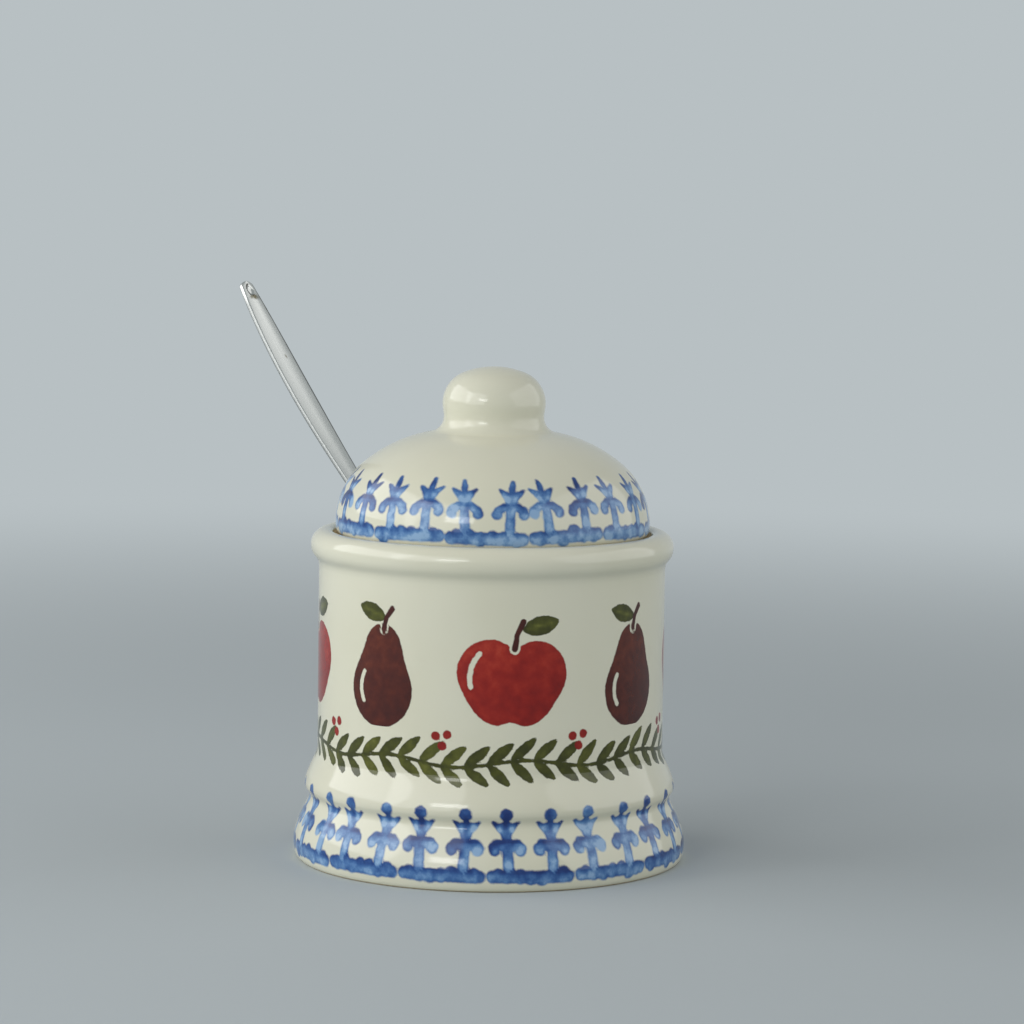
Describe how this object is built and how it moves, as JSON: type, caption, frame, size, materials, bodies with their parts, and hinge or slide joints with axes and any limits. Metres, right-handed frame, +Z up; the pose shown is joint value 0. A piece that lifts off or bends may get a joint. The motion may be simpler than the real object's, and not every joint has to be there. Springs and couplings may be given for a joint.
{
  "type": "jam pot",
  "caption": "Glazed earthenware jam pot with flared base, rolled rim, domed lid with integral knob, and a steel spoon leaning out through the lid's notch.",
  "frame": {"origin": "centre of the ring that the pot stands on, on the pot's axis", "axes": "+Z up along the pot's axis; -X the side where the spoon leans out through the lid's notch; the part is mirror-symmetric about the XZ plane"},
  "size_m": [0.1268, 0.0954, 0.1376],
  "materials": {
    "pot_glaze": "clear gloss glaze over cream earthenware, with blue sponged borders and a painted fruit band",
    "lid_glaze": "clear gloss glaze over cream earthenware, with a blue sponged border",
    "spoon_steel": "pressed stainless steel, polished and lightly worn"
  },
  "bodies": {
    "pot": {"pot": "pot_glaze"},
    "lid": {"lid": "lid_glaze"},
    "spoon": {"spoon": "spoon_steel"}
  },
  "joints": [
    {"name": "lid_lift", "type": "slide", "parent": "pot", "child": "lid", "axis": [0, 0, 1], "range_m": [0, 0.1]},
    {"name": "spoon_draw", "type": "slide", "parent": "pot", "child": "spoon", "axis": [-0.6489, 0, 0.7608], "range_m": [0, 0.056]}
  ]
}
